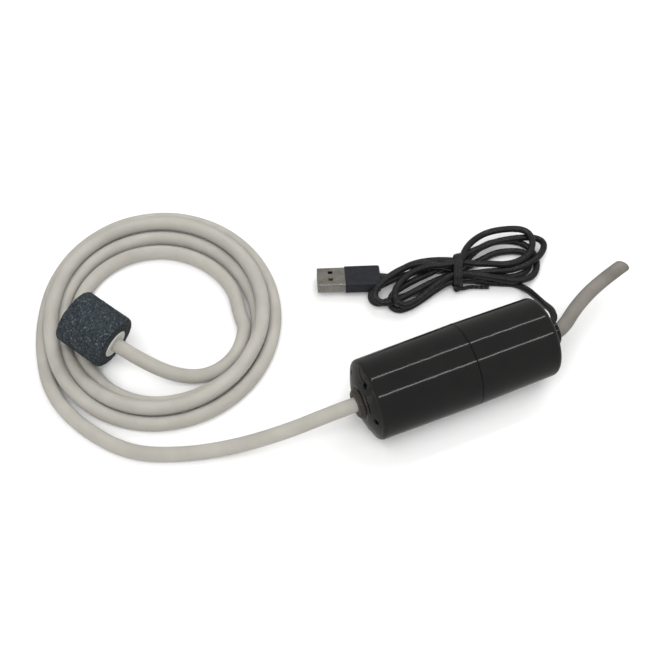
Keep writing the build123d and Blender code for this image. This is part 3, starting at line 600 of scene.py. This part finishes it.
def stone_profile():
    """(distance, radius) along the stone's outline, from its recess to its far face."""
    corner = STONE_EDGE
    outline = [(RECESS_DEPTH, FERRULE_R), (0.0, FERRULE_R), (0.0, STONE_R - corner)]
    for step in range(1, CORNER_STEPS):
        angle = math.pi / 2 * step / CORNER_STEPS
        outline.append((corner * (1 - math.cos(angle)), STONE_R - corner * (1 - math.sin(angle))))
    outline.append((corner, STONE_R))
    outline += [(STONE_L - distance, radius) for distance, radius in outline[:2:-1]]
    outline += [(STONE_L, STONE_R - corner), (STONE_L, FAR_MIDDLE_R)]
    dense = []
    for (first, wide), (last, narrow) in zip(outline, outline[1:]):
        parts = max(1, round(math.hypot(last - first, narrow - wide) / STONE_SPACING))
        dense += [(between(first, last, part / parts), between(wide, narrow, part / parts))
                  for part in range(parts)]
    return dense + [outline[-1]]


STONE_AROUND = 176
# pits: (depth in millimetres, features per millimetre) of two rough layers, and rarer deep ones
ROUGHNESS = [(0.16, 1.6), (0.10, 0.6)]
DEEP_PIT, DEEP_FREQUENCY, DEEP_ABOVE, DEEP_SHIFT = 0.9, 0.9, 0.42, Vector((7, 3, 5))
SURFACE_INSET = 0.12


def pitted(place):
    """The place, moved in by the depth of the stone's grain there."""
    inward = (STONE_CENTRE - place).normalized()
    depth = SURFACE_INSET + sum(deep * noise.noise(place * often) for deep, often in ROUGHNESS)
    rare = noise.noise(place * DEEP_FREQUENCY + DEEP_SHIFT) - DEEP_ABOVE
    return place + inward * (depth + max(0.0, rare) * DEEP_PIT)


def stone_ring(made, distance, radius, change=None):
    places = [along_stone(distance, radius, 2 * math.pi * step / STONE_AROUND)
              for step in range(STONE_AROUND)]
    return [made.verts.new((change(place) if change else place) * MM) for place in places]


made = bmesh.new()
rows = []
for distance, radius in stone_profile():
    in_recess = radius <= FERRULE_R and distance < 2
    rows.append(stone_ring(made, distance, radius, None if in_recess else pitted))
for first, second in zip(rows, rows[1:]):
    ring_quads(made, first, second)
made.faces.new(rows[-1])
# the recess' floor runs in to the hole that holds the hose
ring_quads(made, stone_ring(made, RECESS_DEPTH, HOSE_HOLE_R), rows[0])
bmesh.ops.recalc_face_normals(made, faces=made.faces)
gritty = mesh_piece("gritty_stone", made)
finish_piece(gritty, "stone_blue", "air_stone")


# ------------------------------------------------------------------ twist tie
def swept(name, line, section):
    """A strip along places in millimetres, each with its two axes; the section is offsets in them."""
    made = bmesh.new()
    rows = [[made.verts.new((centre + across * wide + out * high) * MM) for wide, high in section]
            for centre, (across, out) in line]
    for first, second in zip(rows, rows[1:]):
        ring_quads(made, first, second)
    made.faces.new(rows[0][::-1])
    made.faces.new(rows[-1])
    bmesh.ops.recalc_face_normals(made, faces=made.faces)
    return mesh_piece(name, made)


# the ribbon's section: a wire in the middle of two thin wings
RIBBON = [(-1.3, 0.0), (-1.2, 0.13), (-0.55, 0.16), (-0.35, 0.42), (0.0, 0.52), (0.35, 0.42),
          (0.55, 0.16), (1.2, 0.13), (1.3, 0.0), (1.2, -0.13), (0.0, -0.16), (-1.2, -0.13)]
BAND_HALF = (6.9, 4.85)         # half of the band's width and height
BAND_MIDDLE = 5.65
WRAPS, WRAP_STEPS = 2, 48
WRAP_START = -math.pi / 2 - 1.0
SQUARENESS = 3.2                 # 2 is an ellipse, more is squarer
OUTER_LIFT = 0.45                # how far outside the first wrap the last one lies
WRAP_SPAN, WRAP_WOBBLE = (-1.0, 1.2), 0.35
ALONG = Vector((*WAIST_ALONG, 0)).normalized()
ACROSS = Vector((*WAIST_ACROSS, 0)).normalized()


def band_line():
    """Two wraps of a rounded-rectangle ring round the waist, side by side and slightly askew."""
    line = []
    total = WRAPS * WRAP_STEPS
    for step in range(total + 1):
        angle = 2 * math.pi * step / WRAP_STEPS + WRAP_START
        cos, sin = math.cos(angle), math.sin(angle)
        swell = (abs(cos) ** SQUARENESS + abs(sin) ** SQUARENESS) ** (-1 / SQUARENESS)
        lift = OUTER_LIFT * step / total
        wide, high = (BAND_HALF[0] + lift) * swell * cos, (BAND_HALF[1] + lift * 0.6) * swell * sin
        along = between(*WRAP_SPAN, step / total) + WRAP_WOBBLE * math.sin(2 * angle)
        centre = Vector((*WAIST, BAND_MIDDLE)) + ACROSS * wide + UP * high + ALONG * along
        out = (ACROSS * cos * BAND_HALF[1] + UP * sin * BAND_HALF[0]).normalized()
        line.append((centre, (ALONG, out)))
    return line


band = swept("tie_band", band_line(), RIBBON)
finish_piece(band, "tie_black", "twist_tie")

KNOT = Vector((*WAIST, 2.6)) - ACROSS * 7.4
TAIL_POINTS = [KNOT, KNOT + Vector((2.4, -1.0, -0.4)), Vector((30.0, 44.6, 1.8)),
               Vector((34.0, 42.7, 1.55)), Vector((37.6, 41.2, 1.45))]
TWIST_PITCH, TWIST_OFF = 4.2, 0.34
KNOT_R, KNOT_LUMPS, KNOT_LUMP, KNOT_SKEW = 1.55, 3, 0.16, 2.2


def twisted_tail(phase):
    """One of the two ribbons, wound about the tail's line."""
    line = guide_line(TAIL_POINTS)
    gone, rows = 0.0, []
    for number, centre in enumerate(line):
        before, after = line[max(number - 1, 0)], line[min(number + 1, len(line) - 1)]
        ahead = (after - before).normalized()
        side = ahead.cross(UP).normalized()
        top = side.cross(ahead)
        gone += (centre - before).length / MM
        angle = phase + 2 * math.pi * gone / TWIST_PITCH
        out = side * math.cos(angle) + top * math.sin(angle)
        wide = side * -math.sin(angle) + top * math.cos(angle)
        rows.append((centre / MM + out * TWIST_OFF, (wide, out)))
    return rows


TAIL_RIBBON = [(wide * 0.62, high * 0.9) for wide, high in RIBBON]
for number, phase in enumerate((0.0, math.pi)):
    tail = swept(f"tie_tail_{number + 1}", twisted_tail(phase), TAIL_RIBBON)
    finish_piece(tail, "tie_black")

knot = bmesh.new()
bmesh.ops.create_uvsphere(knot, u_segments=28, v_segments=18, radius=KNOT_R * MM)
for vertex in knot.verts:
    turn = math.atan2(vertex.co.z, vertex.co.x)
    vertex.co *= 1.0 + KNOT_LUMP * math.sin(KNOT_LUMPS * turn + vertex.co.y / MM * KNOT_SKEW)
    vertex.co += KNOT * MM
finish_piece(mesh_piece("tie_knot", knot), "tie_black")

# ------------------------------------------------------------------ floor, light, camera
floor_mesh = bpy.data.meshes.new("floor")
floor_mesh.from_pydata([(-4, -4, 0), (4, -4, 0), (4, 4, 0), (-4, 4, 0)], [], [(0, 1, 2, 3)])
floor = bpy.data.objects.new("floor", floor_mesh)
bpy.context.collection.objects.link(floor)


def build_floor(tree, shader):
    vector = coordinates(tree)
    tree.links.new(ramp(tree, noise_texture(tree, vector, 400.0, 2.0),
                        [(0.3, 0.86), (0.7, 0.88)]), shader.inputs["Base Color"])


floor_mesh.materials.append(material("pale_floor", build_floor, Roughness=0.9, Specular_IOR_Level=0.1))
floor.visible_glossy = False

world = bpy.data.worlds.new("studio")
world.use_nodes = True
world.node_tree.nodes["Background"].inputs["Color"].default_value = (1.0, 0.99, 0.97, 1.0)
world.node_tree.nodes["Background"].inputs["Strength"].default_value = 0.35
bpy.context.scene.world = world
bpy.context.scene.view_settings.view_transform = "Standard"


def area_light(name, place, aim, size, power, glossy=True):
    """A rectangular light that faces aim; it can be left out of reflections."""
    data = bpy.data.lights.new(name, "AREA")
    data.shape = "RECTANGLE"
    data.size, data.size_y = size
    data.energy = power
    obj = bpy.data.objects.new(name, data)
    obj.location = place
    obj.rotation_euler = (Vector(aim) - Vector(place)).to_track_quat("-Z", "Y").to_euler()
    obj.visible_glossy = glossy
    bpy.context.collection.objects.link(obj)


TARGET = Vector((-0.0354, 0.052, 0.0))
area_light("key", (-0.5, -0.6, 1.4), TARGET, (1.6, 1.6), 26.0, glossy=False)
area_light("fill", (0.9, 0.7, 1.2), TARGET, (1.4, 1.4), 14.0, glossy=False)
# long strips whose reflections run along the case: each one's direction from the pump's axis, in
# degrees from +Y towards +Z
PUMP_AXIS = Vector((0.0, 0.0, 0.017))
STRIP_AWAY, STRIP_SIZE, STRIP_POWER = 0.9, (1.3, 0.035), 0.9
for name, direction in (("strip_far", 71.3), ("strip_near", 123.0)):
    angle = math.radians(direction)
    reach = Vector((0, math.cos(angle), math.sin(angle))) * STRIP_AWAY
    area_light(name, PUMP_AXIS + reach, PUMP_AXIS, STRIP_SIZE, STRIP_POWER)

CAMERA_TURN, CAMERA_LIFT, CAMERA_AWAY = -23.6, 53.5, 0.554
camera_data = bpy.data.cameras.new("camera")
camera_data.sensor_width = 36.0
camera_data.lens = 72.0
camera = bpy.data.objects.new("camera", camera_data)
bpy.context.collection.objects.link(camera)
turn, lift = math.radians(CAMERA_TURN), math.radians(CAMERA_LIFT)
back = Vector((math.sin(turn) * math.cos(lift), -math.cos(turn) * math.cos(lift), math.sin(lift)))
camera.location = TARGET + back * CAMERA_AWAY
camera.rotation_mode = "QUATERNION"
camera.rotation_quaternion = (-back).to_track_quat("-Z", "Y")
camera_data.clip_start, camera_data.clip_end = 0.01, 20.0
bpy.context.scene.camera = camera
